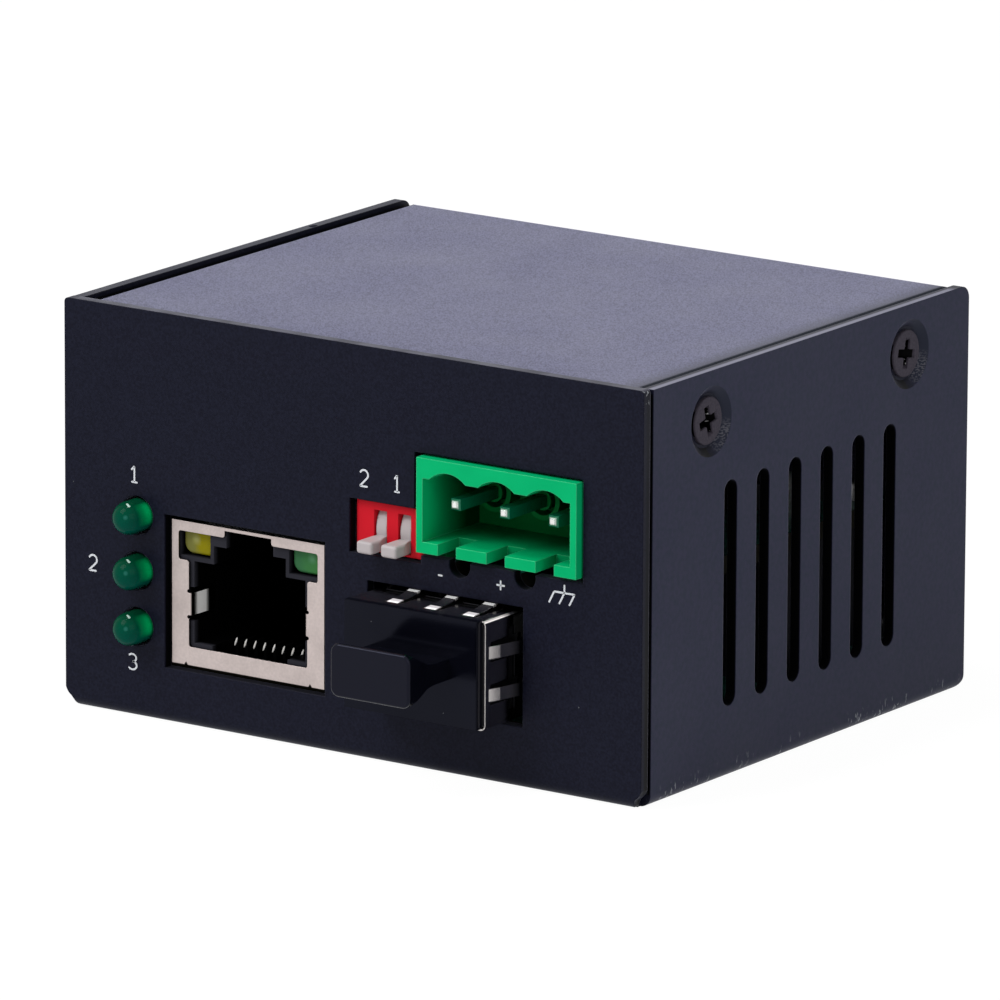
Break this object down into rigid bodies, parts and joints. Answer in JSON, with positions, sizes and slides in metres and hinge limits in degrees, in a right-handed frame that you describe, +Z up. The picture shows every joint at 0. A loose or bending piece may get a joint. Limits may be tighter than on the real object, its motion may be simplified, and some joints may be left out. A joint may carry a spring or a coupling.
{
  "type": "fibre media converter",
  "caption": "Folded-steel box with a shielded copper-port jack, an optical transceiver cage with dust plug, a screw-terminal header and a small switch bank.",
  "frame": {"origin": "middle of the case's underside, on the surface it rests on", "axes": "+Z up, -Y out of the socket panel, +X to the right as the socket panel is faced"},
  "size_m": [0.061, 0.0622, 0.0367],
  "materials": {
    "case_paint": "satin powder coat",
    "zinc_steel": "satin",
    "screw_black": "satin",
    "board_green": "satin",
    "tinned_steel": "satin",
    "cage_steel": "dull",
    "contact_gold": "polished",
    "tinned_copper": "satin",
    "black_plastic": "matt",
    "green_plastic": "satin",
    "red_plastic": "satin",
    "white_plastic": "satin",
    "green_lens": "clear",
    "yellow_lens": "clear",
    "capacitor_sleeve": "gloss",
    "ferrite": "matt",
    "copper_wire": "varnished"
  },
  "bodies": {
    "case": {"base_tray": "case_paint", "lid": "case_paint", "lid_screws": "screw_black", "main_board": "board_green", "board_standoffs": "zinc_steel", "board_screws": "zinc_steel", "power_board": "board_green", "board_spacers": "black_plastic", "spacer_screws": "zinc_steel", "board_link_header": "black_plastic", "board_link_pins": "contact_gold", "lamp_lower": "green_lens", "lamp_middle": "green_lens", "lamp_upper": "green_lens", "lamp_holder": "black_plastic", "lamp_leads": "tinned_copper", "jack_shield": "tinned_steel", "jack_housing": "black_plastic", "jack_contacts": "contact_gold", "jack_lamp_left": "yellow_lens", "jack_lamp_right": "green_lens", "sfp_cage": "cage_steel", "sfp_emi_collar": "cage_steel", "sfp_connector": "black_plastic", "terminal_header": "green_plastic", "terminal_pins": "tinned_copper", "dip_body": "red_plastic", "dip_pins": "tinned_copper", "converter_chip": "black_plastic", "chip_leads": "tinned_copper", "crystal": "tinned_steel", "storage_capacitors": "capacitor_sleeve", "power_inductor": "ferrite", "inductor_winding": "copper_wire", "regulator": "black_plastic", "input_fuse": "white_plastic", "board_resistors": "black_plastic"},
    "dust_plug": {"dust_plug": "black_plastic"},
    "dip_lever_left": {"dip_lever_left": "white_plastic"},
    "dip_lever_right": {"dip_lever_right": "white_plastic"}
  },
  "joints": [
    {"name": "dust_plug_pull", "type": "slide", "parent": "case", "child": "dust_plug", "axis": [0, -1, 0], "range_m": [0, 0.02]},
    {"name": "left_switch", "type": "hinge", "parent": "case", "child": "dip_lever_left", "pos_m": [0.00289, -0.02215, 0.02055], "axis": [-1, 0, 0], "range_deg": [0, 25]},
    {"name": "right_switch", "type": "hinge", "parent": "case", "child": "dip_lever_right", "pos_m": [0.00543, -0.02215, 0.02055], "axis": [-1, 0, 0], "range_deg": [0, 25]}
  ]
}
